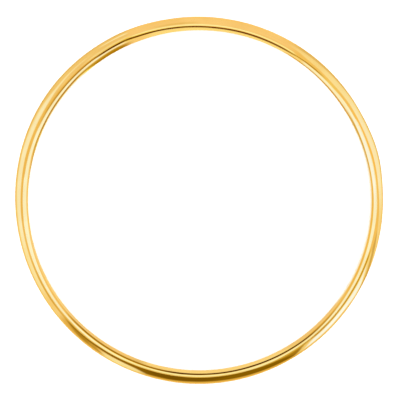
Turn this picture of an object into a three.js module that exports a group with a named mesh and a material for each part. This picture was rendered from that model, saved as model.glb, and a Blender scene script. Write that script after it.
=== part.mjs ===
// A plain half-round bangle: one closed, seamless ring of solid yellow gold, with no hinge,
// clasp, seam or setting. It slides over the hand.
//
// Millimetres, +Z up. The ring lies on its side, so its axis is +Z and its lower rim is at
// z = 0. The origin is the centre of the opening, level with that rim.

import * as THREE from 'three';

// Driving dimensions, in millimetres
const INNER_DIAMETER = 63.5; // across the opening: two and a half inches, a medium bangle
const BAND_THICKNESS = 2.15; // from the flat inner wall out to the top of the dome
const BAND_WIDTH = 4.3; // along the ring's axis
const INNER_EDGE_RADIUS = 0.45; // rounding from the inner wall into each rim
const RIM_FLAT = 0.15; // narrow flat on each side of the band; the ring rests on one
const OUT_OF_ROUND = 0.001; // share by which the ring is longer along X and shorter along Y

// Facets along each curve
const RING_STEPS = 120;
const DOME_STEPS = 16;
const EDGE_STEPS = 4;

// Finish
const POLISHED_GOLD = { color: 0xf0bd5c, roughness: 0.1, metalness: 1 };

// The outline of the band's section, anticlockwise from the foot of the inner wall, with the
// distance from the ring's axis as x and the height above the lower rim as y.
function bandSection() {
	const innerRadius = INNER_DIAMETER / 2;
	const outerRadius = innerRadius + BAND_THICKNESS;
	const rimInner = innerRadius + INNER_EDGE_RADIUS;
	const rimOuter = rimInner + RIM_FLAT;

	// The dome is one arc through the outer ends of both rims and the widest point of the band.
	const halfWidth = BAND_WIDTH / 2;
	const domeRise = outerRadius - rimOuter;
	const domeRadius = (halfWidth ** 2 + domeRise ** 2) / (2 * domeRise);
	const domeCentre = outerRadius - domeRadius;
	const domeReach = Math.acos((rimOuter - domeCentre) / domeRadius);

	const lowerEdge = new THREE.ArcCurve(
		rimInner, INNER_EDGE_RADIUS, INNER_EDGE_RADIUS, Math.PI, Math.PI * 1.5,
	);
	const dome = new THREE.ArcCurve(domeCentre, halfWidth, domeRadius, -domeReach, domeReach);
	const upperEdge = new THREE.ArcCurve(
		rimInner, BAND_WIDTH - INNER_EDGE_RADIUS, INNER_EDGE_RADIUS, Math.PI / 2, Math.PI,
	);
	const outline = [
		...lowerEdge.getPoints(EDGE_STEPS),
		...dome.getPoints(DOME_STEPS),
		...upperEdge.getPoints(EDGE_STEPS),
	];
	outline.push(outline[0].clone());
	return outline;
}

// The band: its section turned once round the ring's axis, then eased out of round.
function makeBand() {
	const band = new THREE.Mesh(
		new THREE.LatheGeometry(bandSection(), RING_STEPS),
		new THREE.MeshStandardMaterial(POLISHED_GOLD),
	);
	band.name = 'band';
	// A lathe turns about Y, so the ring is scaled across that axis and then stood along Z.
	band.scale.set(1 + OUT_OF_ROUND, 1, 1 - OUT_OF_ROUND);
	band.rotation.x = Math.PI / 2;
	return band;
}

const bangle = new THREE.Group();
bangle.add(makeBand());

export default bangle;
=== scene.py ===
import math

import bpy
import numpy as np
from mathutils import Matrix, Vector


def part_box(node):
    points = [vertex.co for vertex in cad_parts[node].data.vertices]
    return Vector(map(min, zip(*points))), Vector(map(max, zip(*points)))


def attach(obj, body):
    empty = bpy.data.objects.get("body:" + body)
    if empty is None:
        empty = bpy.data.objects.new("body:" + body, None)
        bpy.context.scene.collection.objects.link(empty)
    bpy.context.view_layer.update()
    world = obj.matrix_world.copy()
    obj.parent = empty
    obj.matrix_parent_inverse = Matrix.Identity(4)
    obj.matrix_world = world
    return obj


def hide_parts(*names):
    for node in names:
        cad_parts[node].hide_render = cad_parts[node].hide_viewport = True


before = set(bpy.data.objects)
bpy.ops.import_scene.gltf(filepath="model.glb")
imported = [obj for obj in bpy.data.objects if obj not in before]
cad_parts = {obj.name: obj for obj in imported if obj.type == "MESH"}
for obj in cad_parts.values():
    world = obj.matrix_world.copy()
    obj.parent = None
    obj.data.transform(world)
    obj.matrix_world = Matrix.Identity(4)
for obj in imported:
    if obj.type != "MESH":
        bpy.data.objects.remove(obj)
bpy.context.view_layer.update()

# A plain half-round gold bangle lies on a pale floor and is seen from almost straight above.
# Metres, +Z up, with the ring's axis on +Z and its lower rim on the floor at z = 0.

# ---- the band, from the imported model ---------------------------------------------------

LOW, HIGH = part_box("band")
HALF_LENGTH = (HIGH[0] - LOW[0]) / 2
HALF_BREADTH = (HIGH[1] - LOW[1]) / 2
OUTER_RADIUS = (HALF_LENGTH + HALF_BREADTH) / 2
OUT_OF_ROUND = HALF_LENGTH / OUTER_RADIUS - 1
BAND_WIDTH = HIGH[2] - LOW[2]

# The section inside that box, as in the part's source.
BAND_THICKNESS = 0.00215
INNER_EDGE_RADIUS = 0.00045
RIM_FLAT = 0.00015
CREST_SOFTNESS = 0.0001  # radius that polishing leaves where the dome meets the rim

# A hand-made ring isn't perfectly true. Its section leans a little, with the inner side tipped
# up at the two ends of Y and down at the two ends of X, and its wall isn't equally thick all
# round. A swell is how much thicker the wall is, or thinner where negative; its middle, in
# degrees anticlockwise from +X; and its half length, in degrees.
LEAN = math.radians(3.0)
SWELLS = (
    (0.00037, 142, 50),
    (0.0002, 15, 14),
    (0.00008, 113, 14),
    (-0.00005, 72, 26),
    (0.00005, 272, 34),
    (-0.00007, 208, 34),
)

# How the rims rub more than the dome does.
WEAR_ON_DOME = 0.35  # as a share of the wear on the rims
WEAR_POWER = 8  # how fast it grows towards them

RING_STEPS = 480
DOME_STEPS = 40
EDGE_STEPS = 14
CREST_STEPS = 4
WALL_STEPS = 6
HOLD = 0.00002  # distance from a rounding to the wall's first points, to keep its shading flat

# ---- view ------------------------------------------------------------------------------

# The camera looks down almost along the ring's axis, from a little towards -X and -Y.
LENS_MM = 105.0
SENSOR_MM = 36.0
CAMERA_FROM = (-0.0020, -0.0030, 0.2175)
CAMERA_TO = (0.00012, -0.00001, 0.0)
CAMERA_CLIP_START = 0.01

# ---- studio ----------------------------------------------------------------------------

FLOOR_RADIUS = 3.0
FLOOR_STEPS = 96
PAPER_DEEP = (0.88, 0.88, 0.88)
PAPER_PALE = (0.94, 0.94, 0.94)
TOOTH_SCALE = 1800.0
TOOTH_DEPTH = 0.00002
CLOUD_SCALE = 14.0
SKY_STRENGTH = 2.15

# The tunnel is a tube bent round the ring. Its steps across are finer over the few degrees that
# hold all that the flat inner wall mirrors.
TUNNEL_RADIUS = 0.020
TUNNEL_STEPS_ROUND = 400
TUNNEL_FINE = (-172, -166)
TUNNEL_STEPS_BELOW = 3
TUNNEL_STEPS_FINE = 48
TUNNEL_STEPS_ABOVE = 140

# ---- gold ------------------------------------------------------------------------------

# The share of red, green and blue that the metal mirrors, in its deepest and palest places.
GOLD_DEEP = (0.945, 0.672, 0.26)
GOLD_PALE = (1.0, 0.748, 0.322)
GOLD = (np.array(GOLD_DEEP) + np.array(GOLD_PALE)) / 2
GOLD_EDGE = (1.0, 0.85, 0.5, 1)  # its tint where it is seen edge-on

STREAK_STRETCH = (6, 6, 90)  # how often the wheel's streaks change, round the ring and across it
HAIRLINE_STRETCH = (350, 9000, 9000)  # how often a hairline changes in a metre, along it and across
HAIRLINE_SLANTS = ((0.3, 0.5, 0.9), (1.1, -0.6, -0.5))  # radians about X, Y and Z
PATCH_SCALE = 260.0
SMUDGE_SCALE = 150.0

# Roughness of the cleanest metal, and what each kind of mark adds to it.
GOLD_ROUGHNESS = 0.022
SMUDGE_ROUGHNESS = 0.012
STREAK_ROUGHNESS = 0.01
RUBBED_ROUGHNESS = 0.03
HAIRLINE_ROUGHNESS = 0.1

# How high the streaks stand and how deep the hairlines are cut.
MICROMETRE = 0.000001
STREAK_HEIGHT = 6.0  # micrometres
HAIRLINE_DEPTH = 2.5  # micrometres

# ---- what the gold mirrors -------------------------------------------------------------

# The tunnel of cloth and ribbons that stands round the ring, out of the camera's sight, for the
# metal to mirror. Each ribbon has its colour as the gold shows it, red, green and blue from 0 to
# 255; the degrees over which its ends, its low edge and its high edge fade, half on each side of
# them; and its course round the ring as (turn, low edge, high edge). A turn is in degrees
# clockwise from +Y seen from above. An edge is in degrees across the band, from +Z, outward
# positive: the flat inner wall mirrors -171 to -168.5, its rounding the stretch from there to 7,
# and the dome 45 and more. An edge at -200 or 200 lies past the tunnel's seam, at -180 and 180.
# A later ribbon hangs in front of an earlier one.
#
# The courses and colours are set from readings of the photograph's colours along the band.
# The names are only labels, because what really stood round the bangle isn't known.
CLOTH = (243, 197, 108)
RIBBONS = [
    # The dome, above the crest.
    ("right box", (252, 224, 148), (6, 4, 20), [
        (29, 40, 88), (36, 40, 93), (43, 40, 101), (50, 40, 114), (57, 40, 126), (64, 40, 134),
        (92, 40, 132), (101, 40, 118), (106, 40, 112)]),
    ("right box, near end", (251, 216, 132), (12, 4, 18), [(29, 40, 90), (46, 40, 106)]),
    ("right box, middle", (254, 234, 178), (16, 14, 20), [
        (58, 64, 106), (66, 58, 110), (78, 62, 116), (90, 82, 121)]),
    ("right box, far end", (250, 212, 130), (10, 10, 16), [(94, 60, 130), (112, 60, 150)]),
    ("right rim", (230, 184, 98), (10, 14, 8), [
        (29, 92, 200), (36, 95, 200), (43, 101, 200), (50, 116, 200), (58, 130, 200), (68, 130, 200),
        (76, 128, 200), (84, 142, 200)]),
    ("right post", (216, 168, 76), (4, 9, 9), [
        (98, 76, 88), (103, 76, 106), (106, 76, 118), (110, 84, 132), (114, 100, 160), (119, 122, 170)]),
    ("window seam, glow", (246, 200, 62), (9, 4, 6), [
        (103, 52, 78), (113, 48, 77), (120, 46, 73), (132, 45, 76), (141, 44, 76), (150, 44, 70)]),
    ("window seam", (204, 144, 0), (9, 4, 6), [
        (103, 58, 72), (113, 55, 69), (120, 51, 65), (128, 49.5, 65.5), (136, 48.5, 67.5),
        (141, 48, 68), (150, 46, 64)]),
    ("window, near end", (250, 214, 122), (3, 8, 12), [
        (106, 76, 84), (110, 74, 98), (114, 73, 116), (119, 73, 130)]),
    ("window", (252, 244, 208), (3, 6, 10), [
        (111, 75, 80), (115, 75, 100), (118, 74, 122), (122, 72, 128), (125, 71, 117),
        (128, 70.5, 109), (132, 70.5, 111), (149, 70, 113)]),
    ("window, middle", (254, 250, 226), (6, 8, 12), [(118, 78, 110), (124, 76, 112), (146, 76, 108)]),
    ("window, far end", (247, 207, 110), (3, 18, 18), [
        (140, 62, 66), (142, 62, 84), (144, 66, 104), (146, 82, 120), (148, 104, 128),
        (150, 120, 132)]),
    ("doorway", (138, 94, 0), (2, 4, 26), [
        (142.6, 40, 46), (143.6, 40, 56), (145, 40, 74), (146.5, 40, 95), (148.3, 40, 117),
        (151, 40, 119), (156, 40, 112), (162, 40, 106), (172, 40, 103), (182, 40, 103), (190, 40, 108),
        (197, 40, 106), (199.5, 40, 84), (202, 40, 70), (204, 40, 66)]),
    ("doorway, rim", (222, 164, 54), (8, 14, 14), [
        (146, 114, 134), (158, 104, 124), (176, 99, 117), (190, 104, 121), (198, 102, 121)]),
    ("doorway, deep", (122, 81, 2), (10, 8, 16), [
        (170, 50, 60), (178, 46, 86), (190, 44, 90), (198, 44, 76)]),
    ("doorway, near end", (170, 120, 16), (2, 4, 20), [
        (142.6, 40, 46), (143.6, 40, 56), (145, 40, 74), (146.5, 40, 95), (148, 40, 102),
        (150, 40, 82), (154, 40, 58), (159, 40, 48)]),
    ("small window", (251, 226, 150), (5, 8, 14), [
        (199, 90, 122), (201, 80, 120), (204, 75, 121), (208, 74, 124), (214, 82, 112)]),
    ("left post, outer", (229, 175, 74), (5, 8, 14), [(213, 70, 122), (222, 70, 124), (230, 66, 124)]),
    ("left post", (202, 150, 50), (3, 10, 14), [
        (212, 104, 112), (214, 88, 112), (216, 62, 112), (221, 60, 120), (225, 58, 96), (230, 56, 66)]),
    ("left post, streak", (180, 128, 28), (3, 8, 10), [(218, 64, 104), (222, 62, 100), (228, 58, 66)]),
    ("sill", (148, 98, 0), (5, 4, 7), [
        (198, 40, 72), (206, 44, 71), (213, 49, 70), (220, 59, 72), (227, 66, 73)]),
    ("left box", (251, 224, 150), (5, 6, 16), [
        (231, 76, 126), (241, 72, 126), (256, 69, 127), (271, 64, 122), (286, 62, 116), (294, 58, 112),
        (300, 56, 104), (304, 58, 93), (308, 63, 83), (312, 67, 80), (316, 69, 79), (322, 71, 78)]),
    ("left box, near end", (250, 207, 118), (8, 6, 16), [(231, 72, 124), (239, 72, 124)]),
    ("left box, middle", (252, 233, 176), (12, 8, 12), [
        (256, 74, 112), (262, 70, 110), (286, 66, 110), (304, 61, 86), (309, 69, 78)]),
    ("left rim", (227, 184, 104), (10, 18, 8), [(290, 134, 200), (306, 116, 200), (338, 120, 200)]),
    ("far lamp", (255, 230, 160), (3, 6, 6), [(327.5, 84, 95), (332, 80, 94), (337, 77, 96)]),
    ("far lamp, low", (250, 217, 134), (8, 4, 6), [(321, -10, 51), (337, -10, 55)]),
    # The crest and the rounding, above the inner wall.
    ("sky", (253, 240, 188), (6, 4, 4), [
        (35, -200, -160), (38, -200, -124), (43, -200, -96), (50, -200, -54), (57, -200, -12),
        (62, -200, 2), (66, -200, 30), (71, -200, 42), (78, -200, 47), (85, -200, 55), (92, -200, 59),
        (99, -200, 56), (113, -200, 50), (124, -200, 48.5), (141, -200, 47.5), (150, -200, 43),
        (160, -200, 30), (205, -200, 26), (219, -200, 46), (236, -200, 50), (249, -200, 53),
        (264, -200, 47), (279, -200, 10), (294, -200, 2), (300, -200, -12), (308, -200, -28),
        (314, -200, -32), (322, -200, -36), (328, -200, -56), (337, -200, -60)]),
    ("sky, pale", (254, 248, 220), (10, 20, 20), [(62, -130, -20), (75, -90, 10), (90, -50, 20)]),
    ("sky, warm", (254, 238, 162), (26, 4, 4), [(134, -200, 30), (215, -200, 26)]),
    ("inner gleam, left", (255, 220, 84), (8, 6, 14), [
        (287, -200, -128), (296, -200, -130), (304, -200, -141), (312, -200, -143), (318, -200, -128),
        (326, -200, -141), (337, -200, -146)]),
    ("doorway, seam", (238, 190, 80), (10, 4, 4), [
        (164, 3, 44), (197, 3, 44), (204, 5, 45), (213, 17, 50), (222, 30, 58), (230, 44, 62)]),
    ("right seam", (246, 192, 88), (5, 5, 7), [
        (29, -150, 60), (34, -130, 58), (38, -100, 44), (41, -88, 16), (46, -64, 10), (50, -48, 46),
        (57, -12, 58), (62, 0, 61), (66, 27, 61), (71, 41, 61), (78, 48, 68), (85, 55, 77),
        (92, 60, 85), (99, 57, 92), (107, 54, 76)]),
    ("right seam, middle", (254, 190, 72), (8, 4, 5), [
        (60, 34, 57), (66, 40, 58), (71, 45, 58), (82, 55, 70)]),
    ("right seam, glow", (244, 200, 88), (5, 16, 16), [
        (29, -200, -110), (34, -192, -84), (38, -158, -46), (42, -124, -28), (46, -98, -14),
        (52, -66, 20)]),
    ("doorway, foot", (222, 170, 54), (4, 4, 10), [
        (143, 40, 62), (150, 40, 62), (156, 40, 56), (163, 40, 46)]),
    ("right seam, near end", (182, 120, 8), (6, 14, 18), [
        (26, -195, -150), (31, -182, -140), (34, -166, -108), (38, -126, -66), (42, -96, -50),
        (45, -72, -38)]),
    ("left seam", (240, 184, 80), (6, 5, 6), [
        (229, 54, 72), (236, 55, 76), (244, 55, 76), (252, 54, 74), (260, 51, 72), (271, 40, 66),
        (279, 8, 64), (286, 6, 62), (294, 2, 56), (300, -14, 54), (308, -31, 46), (316, -36, 40),
        (322, -40, 20), (328, -54, -3), (338, -60, -8)]),
    ("left seam, near end", (224, 168, 58), (10, 6, 7), [(230, 57, 73), (237, 58, 75), (248, 58, 73)]),
    ("left shade", (216, 162, 56), (8, 8, 6), [
        (298, -12, 18), (308, -24, 6), (316, -30, 4), (324, -34, 4), (338, -54, -8)]),
    ("left shade, far end", (182, 122, 8), (8, 8, 6), [
        (306, -22, 4), (311, -27, 4), (316, -32, 4), (324, -37, 4), (338, -54, -8)]),
    ("slit glow", (244, 196, 60), (5, 14, 12), [(326, -66, 8), (338, -78, 14)]),
    ("slit", (96, 40, 0), (4, 10, 9), [(325, -52, -4), (331, -60, -2), (335, -59, -2), (338, -54, -3)]),
    ("inner right", (242, 186, 76), (8, 6, 14), [
        (58, -200, -170), (64, -200, -168), (68, -200, -152), (71, -200, -134), (75, -200, -114),
        (78, -200, -96), (85, -200, -62), (92, -200, -51), (113, -200, -44), (127, -200, -28),
        (134, -200, -30), (140, -200, -104), (148, -200, -158)]),
    ("inner right, far end", (244, 192, 92), (10, 6, 14), [
        (120, -200, -36), (127, -200, -28), (134, -200, -30), (140, -200, -104), (150, -200, -162)]),
    ("inner right, near end", (220, 166, 56), (8, 6, 12), [
        (60, -200, -168), (66, -200, -162), (72, -200, -140), (80, -200, -112)]),
    ("inner glow", (248, 196, 34), (10, 14, 14), [
        (144, -116, -24), (155, -140, -42), (162, -168, -50), (190, -168, -52), (214, -168, -44),
        (226, -168, -38), (233, -168, -42)]),
    ("inner brown", (204, 146, 40), (10, 14, 14), [
        (127, -98, -38), (134, -104, -20), (141, -98, -12), (148, -108, -22), (155, -132, -38),
        (162, -162, -54), (176, -168, -62), (190, -166, -60), (198, -169, -64), (219, -168.9, -57),
        (231, -168.6, -47)]),
    ("inner dark", (66, 26, 0), (8, 14, 14), [
        (138, -80, -38), (141, -82, -38), (148, -100, -46), (155, -130, -61), (162, -166, -72),
        (176, -168.6, -79), (184, -168.8, -73), (190, -168.8, -70), (197, -168.4, -78),
        (201, -168, -88)]),
    ("inner streak", (166, 110, 0), (8, 6, 12), [
        (190, -168.9, -82), (204, -168.9, -82), (224, -168.7, -74)]),
    ("inner left", (248, 196, 98), (8, 6, 16), [
        (229, -200, -30), (234, -200, -36), (241, -200, -45), (249, -200, -70), (256, -200, -100),
        (264, -200, -160), (279, -200, -155), (286, -200, -100), (294, -200, -106)]),
    ("inner line", (178, 110, 0), (8, 0.25, 12), [
        (288, -169.15, -136), (296, -169.3, -140), (304, -169.45, -151), (312, -169.55, -153),
        (316, -169.5, -137), (320, -169.4, -134), (326, -169.4, -152)]),
    ("inner line, far end", (226, 174, 70), (4, 0.4, 18), [
        (317, -169.6, -130), (326, -169.6, -150), (337, -169.6, -156)]),
    # The retouched stretch at the top.
    ("top cloth", (250, 201, 114), (1.5, 6, 6), [(337, -36, 200), (346, -36, 200), (382, -36, 200)]),
    ("top cloth, far end", (250, 201, 114), (7, 6, 6), [(376, -36, 200), (392, -36, 200)]),
    ("top cloth, rim", (230, 184, 104), (3, 16, 8), [(335, 130, 200), (343, 136, 200)]),
    ("top seam", (236, 188, 96), (6, 8, 10), [(346, 30, 56), (350, 8, 56), (359, 2, 52)]),
    ("top, under the line", (250, 211, 130), (1.5, 6, 10), [
        (336.7, -200, -55), (340, -200, -98), (344, -200, -132), (349, -200, -160)]),
    ("top gleam", (255, 234, 150), (1.5, 10, 8), [
        (337, -20, 12), (340, -24, 10), (344, -40, 7), (348, -58, 4), (352, -70, -8), (358, -92, -27),
        (364, -104, -38), (393, -104, -38)]),
    ("top glow", (246, 200, 60), (2, 14, 14), [
        (335.5, -90, 20), (340, -132, -12), (344, -164, -30), (348, -190, -52), (352, -200, -70),
        (357, -200, -92), (362, -200, -112)]),
    ("top, over the line", (226, 166, 30), (5, 8, 14), [
        (356, -200, -106), (366, -200, -128), (380, -200, -126), (392, -200, -122)]),
    ("top dark, slanting", (100, 40, 0), (2, 14, 14), [
        (335.5, -54, 0), (337.5, -70, -14), (340, -104, -42), (344, -142, -58), (348, -172, -76),
        (352, -200, -91), (357, -200, -113), (362, -200, -138)]),
    ("top dark", (88, 12, 0), (5, 8, 12), [
        (357, -200, -122), (361, -200, -150), (366, -200, -165), (374, -200, -163), (380, -200, -157),
        (386, -200, -153), (392, -200, -146)]),
    # The flat inner wall.
    ("wall, top", (254, 222, 138), (3, 0.3, 0.3), [
        (336, -200, -168.9), (344, -200, -168.95), (348, -200, -169.1), (352, -200, -169.35),
        (357, -200, -169.55), (361, -200, -169.68), (366, -200, -169.81), (380, -200, -169.73),
        (388, -200, -169.53), (393, -200, -169.2), (396.5, -200, -169.1)]),
    ("wall, top under the line", (244, 198, 86), (3, 0.2, 0.3), [
        (354, -169.6, -169.35), (361, -169.85, -169.65), (366, -169.95, -169.8),
        (380, -169.95, -169.7), (388, -169.75, -169.5), (393, -169.45, -169.2)]),
    ("wall, top near end", (250, 206, 122), (6, 0.3, 0.3), [(333, -200, -168.9), (343, -200, -168.9)]),
    ("wall, right", (216, 158, 34), (5, 0.3, 0.35), [
        (31, -200, -170.2), (36, -200, -170.1), (43, -200, -169.85), (50, -200, -169.5),
        (57, -200, -169.2), (64, -200, -169.1), (72, -200, -168.85)]),
    ("wall, right end", (253, 240, 192), (6, 0.3, 0.4), [
        (58, -200, -169.95), (64, -200, -169.65), (71, -200, -169.3), (78, -200, -169.0),
        (85, -200, -168.85), (113, -200, -168.8), (120, -200, -168.95), (127, -200, -169.35),
        (134, -200, -169.75), (143, -200, -170.2)]),
    ("wall, bottom", (252, 213, 128), (8, 0.3, 0.3), [
        (146, -200, -168.8), (155, -200, -168.7), (168, -200, -168.8), (176, -200, -168.95),
        (188, -200, -169.1), (200, -200, -168.95)]),
    ("wall, bottom right", (240, 196, 116), (7, 0.3, 0.3), [(126, -200, -168.6), (150, -200, -169.0)]),
    ("wall, bottom left", (245, 199, 112), (7, 0.3, 0.3), [
        (201, -200, -169.1), (212, -200, -168.95), (236, -200, -168.7)]),
    ("wall, left", (252, 206, 112), (6, 0.3, 0.4), [
        (232, -200, -169.0), (256, -200, -169.0), (264, -200, -169.2)]),
    ("wall, left end", (254, 192, 42), (8, 0.3, 0.4), [(258, -200, -168.9), (290, -200, -168.9)]),
    ("wall, left shade", (214, 158, 50), (8, 0.25, 0.25), [
        (274, -169.95, -169.35), (280, -169.75, -169.05), (286, -169.4, -168.75),
        (294, -169.2, -168.5)]),
    ("wall, far left edge", (255, 218, 88), (6, 0.25, 0.25), [
        (286, -200, -169.3), (292, -200, -169.3), (300, -200, -169.35), (308, -200, -169.5),
        (318, -200, -169.7)]),
    ("wall, far left", (254, 250, 230), (4, 0.25, 0.25), [
        (276, -200, -170.2), (282, -200, -169.9), (288, -200, -169.7), (292, -200, -169.62),
        (300, -200, -169.7), (308, -200, -169.83), (318, -200, -169.95)]),
    # Painted dark reflection: a dark brown patch in the tunnel, which the flat inner wall mirrors as a
    # dark mark.
    ("wall, dark reflection", (178, 126, 8), (1.5, 0.4, 0.9), [
        (317, -169.55, -169.25), (319.5, -169.7, -169.25), (321.5, -170.1, -169.3),
        (323, -170.5, -169.35), (324.5, -171.2, -169.35), (326, -172, -169.35), (333, -172, -169.35)]),
    ("wall, dark reflection, far end", (178, 126, 8), (5, 0.4, 0.9), [
        (328, -172, -169.35), (336.2, -172, -169.35)]),
]


def arc(centre, radius, start, end, steps):
    """Points along an arc, both ends included, with the angles in radians."""
    points = []
    for i in range(steps + 1):
        angle = start + (end - start) * i / steps
        points.append((centre[0] + radius * math.cos(angle), centre[1] + radius * math.sin(angle)))
    return points


def band_section():
    """The closed outline of the band as (distance from the axis, height) points."""
    inner = OUTER_RADIUS - BAND_THICKNESS
    rim_inner = inner + INNER_EDGE_RADIUS
    rim_outer = rim_inner + RIM_FLAT
    half = BAND_WIDTH / 2
    rise = OUTER_RADIUS - rim_outer
    dome_radius = (half ** 2 + rise ** 2) / (2 * rise)
    dome_centre = OUTER_RADIUS - dome_radius

    # The small arc that softens the crest touches the rim's flat and the dome from inside.
    crest_y = half - CREST_SOFTNESS
    crest_x = dome_centre + math.sqrt((dome_radius - CREST_SOFTNESS) ** 2 - crest_y ** 2)
    reach = math.asin(crest_y / (dome_radius - CREST_SOFTNESS))

    quarter = math.pi / 2
    low_crest = (crest_x, CREST_SOFTNESS)
    high_crest = (crest_x, BAND_WIDTH - CREST_SOFTNESS)
    low_edge = (rim_inner, INNER_EDGE_RADIUS)
    high_edge = (rim_inner, BAND_WIDTH - INNER_EDGE_RADIUS)
    wall_bottom = INNER_EDGE_RADIUS
    wall_top = BAND_WIDTH - INNER_EDGE_RADIUS
    wall = [(inner, wall_top - HOLD)]
    for i in range(1, WALL_STEPS):
        wall.append((inner, wall_top + (wall_bottom - wall_top) * i / WALL_STEPS))
    wall.append((inner, wall_bottom + HOLD))
    return (
        arc(low_edge, INNER_EDGE_RADIUS, 2 * quarter, 3 * quarter, EDGE_STEPS)
        + arc(low_crest, CREST_SOFTNESS, -quarter, -reach, CREST_STEPS)
        + arc((dome_centre, half), dome_radius, -reach, reach, DOME_STEPS)[1:-1]
        + arc(high_crest, CREST_SOFTNESS, reach, quarter, CREST_STEPS)
        + arc(high_edge, INNER_EDGE_RADIUS, quarter, 2 * quarter, EDGE_STEPS)
        + wall
    )


def thickening(turn):
    """How much thicker the wall is at this angle round the ring, as a share of its thickness."""
    extra = 0.0
    for height, middle, half_length in SWELLS:
        away = abs((math.degrees(turn) - middle + 180) % 360 - 180)
        if away < half_length:
            extra += height * (0.5 + 0.5 * math.cos(math.pi * away / half_length))
    return extra / BAND_THICKNESS


def place(radius, height, turn):
    """Where a point of the section lies at one angle round the ring."""
    inner = OUTER_RADIUS - BAND_THICKNESS
    pivot = inner + BAND_THICKNESS / 2
    radius = inner + (radius - inner) * (1 + thickening(turn))
    lean = -LEAN * math.cos(2 * turn)
    out = radius - pivot
    up = height - BAND_WIDTH / 2
    radius = pivot + out * math.cos(lean) + up * math.sin(lean)
    height = BAND_WIDTH / 2 - out * math.sin(lean) + up * math.cos(lean)
    x = radius * math.cos(turn) * (1 + OUT_OF_ROUND)
    y = radius * math.sin(turn) * (1 - OUT_OF_ROUND)
    return x, y, LOW[2] + height


def wear(radius, height):
    """How much a place rubs: the rims most, the dome less, the inner wall not at all."""
    out = (radius - (OUTER_RADIUS - BAND_THICKNESS)) / INNER_EDGE_RADIUS
    up = abs(height / BAND_WIDTH * 2 - 1)
    return min(out, 1.0) * (WEAR_ON_DOME + (1 - WEAR_ON_DOME) * up ** WEAR_POWER)


def make_band():
    """Turns the section once round +Z, with a UV map that runs round the ring and across it."""
    section = band_section()
    count = len(section)
    verts = []
    for i in range(RING_STEPS):
        turn = 2 * math.pi * i / RING_STEPS
        verts += [place(radius, height, turn) for radius, height in section]
    faces = []
    for i in range(RING_STEPS):
        here = i * count
        there = (i + 1) % RING_STEPS * count
        for j in range(count):
            k = (j + 1) % count
            faces.append((here + j, there + j, there + k, here + k))
    mesh = bpy.data.meshes.new("polished_band")
    mesh.from_pydata(verts, [], faces)

    # Distance along the outline at each of its points, and once more at its end.
    along = [0.0]
    for j in range(count):
        a = section[j]
        b = section[(j + 1) % count]
        along.append(along[-1] + math.dist(a, b))
    uv = mesh.uv_layers.new(name="round_and_across")
    corner = 0
    for i in range(RING_STEPS):
        for j in range(count):
            for du, dv in ((0, 0), (1, 0), (1, 1), (0, 1)):
                uv.data[corner].uv = ((i + du) / RING_STEPS, along[j + dv] / along[-1])
                corner += 1
    rubbing = mesh.attributes.new("wear", "FLOAT", "POINT")
    rubbing.data.foreach_set("value", [wear(*point) for point in section] * RING_STEPS)
    mesh.polygons.foreach_set("use_smooth", [True] * len(faces))
    mesh.update()
    band = bpy.data.objects.new("polished_band", mesh)
    bpy.context.collection.objects.link(band)
    return band


# ---- materials -------------------------------------------------------------------------

class Nodes:
    """Adds nodes to one material and links them, from left to right."""

    def __init__(self, tree):
        self.tree = tree
        self.tree.nodes.clear()

    def add(self, kind, settings=None, **inputs):
        """A new node, with its settings and with its inputs set or linked."""
        node = self.tree.nodes.new(kind)
        for name, value in (settings or {}).items():
            setattr(node, name, value)
        for name, value in inputs.items():
            self.put(node.inputs[name.replace("_", " ")], value)
        return node

    def put(self, socket, value):
        """Links the socket to an output of another node, or else sets its own value."""
        if isinstance(value, bpy.types.NodeSocket):
            self.tree.links.new(value, socket)
        else:
            socket.default_value = value

    def math(self, operation, *values):
        """What a Math node makes of these values."""
        node = self.add("ShaderNodeMath", {"operation": operation})
        for socket, value in zip(node.inputs, values):
            self.put(socket, value)
        return node.outputs[0]

    def noise(self, where, scale, detail):
        """Soft noise between 0 and 1."""
        node = self.add("ShaderNodeTexNoise", Vector=where, Scale=scale, Detail=detail)
        return node.outputs["Fac"]

    def span(self, value, low, high):
        """0 below the low value, 1 above the high one, with a soft change between them."""
        settings = {"interpolation_type": "SMOOTHSTEP"}
        node = self.add("ShaderNodeMapRange", settings, Value=value, From_Min=low, From_Max=high)
        return node.outputs[0]


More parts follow.
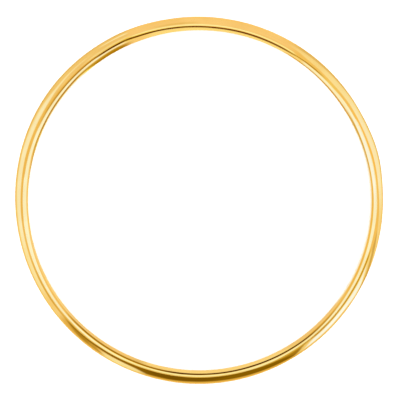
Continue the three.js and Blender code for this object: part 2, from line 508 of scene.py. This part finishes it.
def gold_material():
    """Polished gold with the streaks of the wheel, smudges, hairlines and rubbed rims."""
    mat = bpy.data.materials.new("polished_gold")
    mat.use_nodes = True
    n = Nodes(mat.node_tree)
    coordinates = n.add("ShaderNodeTexCoord")
    here = coordinates.outputs["Object"]
    worn = n.add("ShaderNodeAttribute", {"attribute_name": "wear"}).outputs["Fac"]

    # The wheel's streaks run round the ring, so they are far longer than they are broad.
    apart = n.add("ShaderNodeSeparateXYZ", Vector=here)
    level = n.add("ShaderNodeCombineXYZ", X=apart.outputs["X"], Y=apart.outputs["Y"])
    heading = n.add("ShaderNodeVectorMath", {"operation": "NORMALIZE"})
    n.put(heading.inputs[0], level.outputs["Vector"])
    heading = n.add("ShaderNodeSeparateXYZ", Vector=heading.outputs["Vector"])
    across = n.add("ShaderNodeSeparateXYZ", Vector=coordinates.outputs["UV"]).outputs["Y"]
    wheel = n.add(
        "ShaderNodeCombineXYZ",
        X=heading.outputs["X"],
        Y=heading.outputs["Y"],
        Z=across,
    )
    wheel = n.add("ShaderNodeMapping", Vector=wheel.outputs["Vector"], Scale=STREAK_STRETCH)
    streaks = n.noise(wheel.outputs["Vector"], scale=1.0, detail=4.0)

    # Hairlines lie at a slant in two directions, in patches, and thickest where the band rubs.
    patches = n.span(n.noise(here, scale=PATCH_SCALE, detail=2.0), 0.42, 0.6)
    scratches = []
    for slant in HAIRLINE_SLANTS:
        laid = n.add("ShaderNodeMapping", Vector=here, Rotation=slant, Scale=HAIRLINE_STRETCH)
        scratch = n.noise(laid.outputs["Vector"], scale=1.0, detail=1.0)
        scratches.append(n.span(scratch, 0.62, 0.7))
    hairlines = n.math("MAXIMUM", *scratches)
    hairlines = n.math("MULTIPLY", hairlines, n.math("MULTIPLY", patches, worn))

    smudges = n.span(n.noise(here, scale=SMUDGE_SCALE, detail=3.0), 0.42, 0.66)
    rubbed = n.math("MULTIPLY", n.span(worn, 0.5, 1.0), n.span(streaks, 0.35, 0.65))

    # Streaks and smudges are paler, hairlines deeper.
    tone = n.math("MULTIPLY_ADD", smudges, 0.35, n.math("MULTIPLY", streaks, 0.65))
    colour = n.add("ShaderNodeValToRGB", Fac=n.math("MULTIPLY_ADD", hairlines, -0.3, tone))
    colour.color_ramp.elements[0].position = 0.2
    colour.color_ramp.elements[0].color = (*GOLD_DEEP, 1)
    colour.color_ramp.elements[1].position = 0.8
    colour.color_ramp.elements[1].color = (*GOLD_PALE, 1)

    dull = n.math("MULTIPLY_ADD", smudges, SMUDGE_ROUGHNESS, GOLD_ROUGHNESS)
    dull = n.math("MULTIPLY_ADD", streaks, STREAK_ROUGHNESS, dull)
    dull = n.math("MULTIPLY_ADD", rubbed, RUBBED_ROUGHNESS, dull)
    dull = n.math("MULTIPLY_ADD", hairlines, HAIRLINE_ROUGHNESS, dull)

    height = n.math("MULTIPLY", n.math("MULTIPLY", streaks, worn), STREAK_HEIGHT)
    height = n.math("MULTIPLY_ADD", hairlines, -HAIRLINE_DEPTH, height)
    bump = n.add("ShaderNodeBump", Strength=1.0, Distance=MICROMETRE, Height=height)

    gold = n.add(
        "ShaderNodeBsdfPrincipled",
        Base_Color=colour.outputs["Color"],
        Metallic=1.0,
        Roughness=dull,
        Specular_Tint=GOLD_EDGE,
        Normal=bump.outputs["Normal"],
    )
    n.add("ShaderNodeOutputMaterial", Surface=gold.outputs["BSDF"])
    return mat


def floor_material():
    """Matt white paper with a fine tooth and faint broad clouds."""
    mat = bpy.data.materials.new("pale_floor")
    mat.use_nodes = True
    n = Nodes(mat.node_tree)
    here = n.add("ShaderNodeTexCoord").outputs["Object"]
    tooth = n.noise(here, scale=TOOTH_SCALE, detail=4.0)
    clouds = n.noise(here, scale=CLOUD_SCALE, detail=2.0)
    tone = n.math("MULTIPLY_ADD", tooth, 0.6, n.math("MULTIPLY", clouds, 0.4))
    colour = n.add("ShaderNodeValToRGB", Fac=tone)
    colour.color_ramp.elements[0].position = 0.3
    colour.color_ramp.elements[0].color = (*PAPER_DEEP, 1)
    colour.color_ramp.elements[1].position = 0.7
    colour.color_ramp.elements[1].color = (*PAPER_PALE, 1)
    bump = n.add("ShaderNodeBump", Strength=0.3, Distance=TOOTH_DEPTH, Height=tooth)
    paper = n.add(
        "ShaderNodeBsdfDiffuse",
        Color=colour.outputs["Color"],
        Normal=bump.outputs["Normal"],
    )
    n.add("ShaderNodeOutputMaterial", Surface=paper.outputs["BSDF"])
    return mat


def glow_material():
    """Light in the colours painted on the mesh."""
    mat = bpy.data.materials.new("tunnel_glow")
    mat.use_nodes = True
    n = Nodes(mat.node_tree)
    paint = n.add("ShaderNodeAttribute", {"attribute_name": "paint"}).outputs["Color"]
    light = n.add("ShaderNodeEmission", Color=paint, Strength=1.0)
    n.add("ShaderNodeOutputMaterial", Surface=light.outputs["Emission"])
    return mat


# ---- studio ----------------------------------------------------------------------------

def ease(value):
    """0 up to 0, 1 from 1 on, with a soft change between them."""
    value = np.clip(value, 0, 1)
    return value * value * (3 - 2 * value)


def blend(a, b, share):
    """All a where the share is 0, and all b where it is 1."""
    return a + (b - a) * share


def glow(shown):
    """The light that the gold turns into a colour given as red, green and blue up to 255."""
    part = np.array(shown) / 255
    # The display's own curve, sRGB, is undone first.
    linear = np.where(part <= 0.04045, part / 12.92, ((part + 0.055) / 1.055) ** 2.4)
    return linear / GOLD


def cover(course, soft, turn, across):
    """How much of each place a ribbon covers, from 0 to 1."""
    stops, lows, highs = zip(*course)
    # Whole turns are added, so that a ribbon's course can run past 360 degrees or below 0.
    turn = turn + 360 * np.round(((stops[0] + stops[-1]) / 2 - turn) / 360)
    low = np.interp(turn, stops, lows)
    high = np.interp(turn, stops, highs)
    ends, low_edge, high_edge = soft
    return (
        ease(0.5 + (turn - stops[0]) / ends)
        * ease(0.5 + (stops[-1] - turn) / ends)
        * ease(0.5 + (across - low) / low_edge)
        * ease(0.5 + (high - across) / high_edge)
    )


def tunnel_light(turn, across):
    """The light from each place of the tunnel: the cloth, and the ribbons in front of it."""
    light = np.ones((*turn.shape, 4))
    light[..., :3] = glow(CLOTH)
    for _, shown, soft, course in RIBBONS:
        share = cover(course, soft, turn, across)[..., None]
        light[..., :3] = blend(light[..., :3], glow(shown), share)
    return light


def make_tunnel():
    """A hoop-shaped tunnel round the band, painted with the ribbons. It leans as the band does."""
    below = np.linspace(-180, TUNNEL_FINE[0], TUNNEL_STEPS_BELOW, endpoint=False)
    fine = np.linspace(*TUNNEL_FINE, TUNNEL_STEPS_FINE, endpoint=False)
    above = np.linspace(TUNNEL_FINE[1], 180, TUNNEL_STEPS_ABOVE, endpoint=False)
    stops = np.concatenate((below, fine, above))
    steps = (TUNNEL_STEPS_ROUND, len(stops))
    i, j = np.indices(steps)
    turn = 360 * i / steps[0]
    across = stops[j]

    # A mirrored ray turns by twice the lean of the metal, and back by that of the sight line.
    turned = np.radians(turn)
    sight = (CAMERA_FROM[0] * np.sin(turned) + CAMERA_FROM[1] * np.cos(turned)) / CAMERA_FROM[2]
    angle = np.radians(across) + 2 * LEAN * np.cos(2 * turned) - sight
    out = OUTER_RADIUS - BAND_THICKNESS / 2 + TUNNEL_RADIUS * np.sin(angle)
    up = BAND_WIDTH + TUNNEL_RADIUS * np.cos(angle)
    verts = np.stack((out * np.sin(turned), out * np.cos(turned), up), axis=-1)
    here = i * steps[1] + j
    next_across = i * steps[1] + (j + 1) % steps[1]
    next_round = np.roll(here, -1, axis=0)
    next_both = np.roll(next_across, -1, axis=0)
    faces = np.stack((here, next_across, next_both, next_round), axis=-1)

    mesh = bpy.data.meshes.new("tunnel")
    mesh.from_pydata(verts.reshape(-1, 3).tolist(), [], faces.reshape(-1, 4).tolist())
    paint = mesh.attributes.new("paint", "FLOAT_COLOR", "POINT")
    paint.data.foreach_set("color", tunnel_light(turn, across).ravel())
    tunnel = bpy.data.objects.new("tunnel", mesh)
    bpy.context.collection.objects.link(tunnel)
    tunnel.data.materials.append(glow_material())
    # The camera and the floor don't see the tunnel; the polished metal does.
    tunnel.visible_camera = False
    tunnel.visible_diffuse = False
    tunnel.visible_shadow = False


def make_floor():
    """A broad round sheet of paper."""
    verts = []
    for i in range(FLOOR_STEPS):
        turn = 2 * math.pi * i / FLOOR_STEPS
        verts.append((FLOOR_RADIUS * math.cos(turn), FLOOR_RADIUS * math.sin(turn), 0.0))
    mesh = bpy.data.meshes.new("floor")
    mesh.from_pydata(verts, [], [tuple(range(FLOOR_STEPS))])
    floor = bpy.data.objects.new("floor", mesh)
    bpy.context.collection.objects.link(floor)
    floor.data.materials.append(floor_material())
    # Part of the tunnel is below the floor, so what the metal mirrors is seen through the paper.
    floor.visible_glossy = False


def make_world():
    """An even white sky, which lights the paper."""
    world = bpy.data.worlds.new("studio")
    bpy.context.scene.world = world
    world.use_nodes = True
    n = Nodes(world.node_tree)
    sky = n.add("ShaderNodeBackground", Color=(1, 1, 1, 1), Strength=SKY_STRENGTH)
    n.add("ShaderNodeOutputWorld", Surface=sky.outputs["Background"])


def make_camera():
    """The camera of the main view, with +Y up in the picture."""
    data = bpy.data.cameras.new("camera")
    data.lens = LENS_MM
    data.sensor_width = SENSOR_MM
    data.clip_start = CAMERA_CLIP_START
    camera = bpy.data.objects.new("camera", data)
    camera.location = CAMERA_FROM
    # It looks down, and two small turns about X and Y aim it.
    aim = Vector(CAMERA_TO) - Vector(CAMERA_FROM)
    camera.rotation_euler = (math.atan2(aim.y, -aim.z), -math.atan2(aim.x, -aim.z), 0)
    bpy.context.collection.objects.link(camera)
    bpy.context.scene.camera = camera


make_camera()
make_floor()
make_world()
make_tunnel()

band = make_band()
band.data.materials.append(gold_material())
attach(band, "root")
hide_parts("band")

bpy.context.scene.view_settings.view_transform = "Standard"
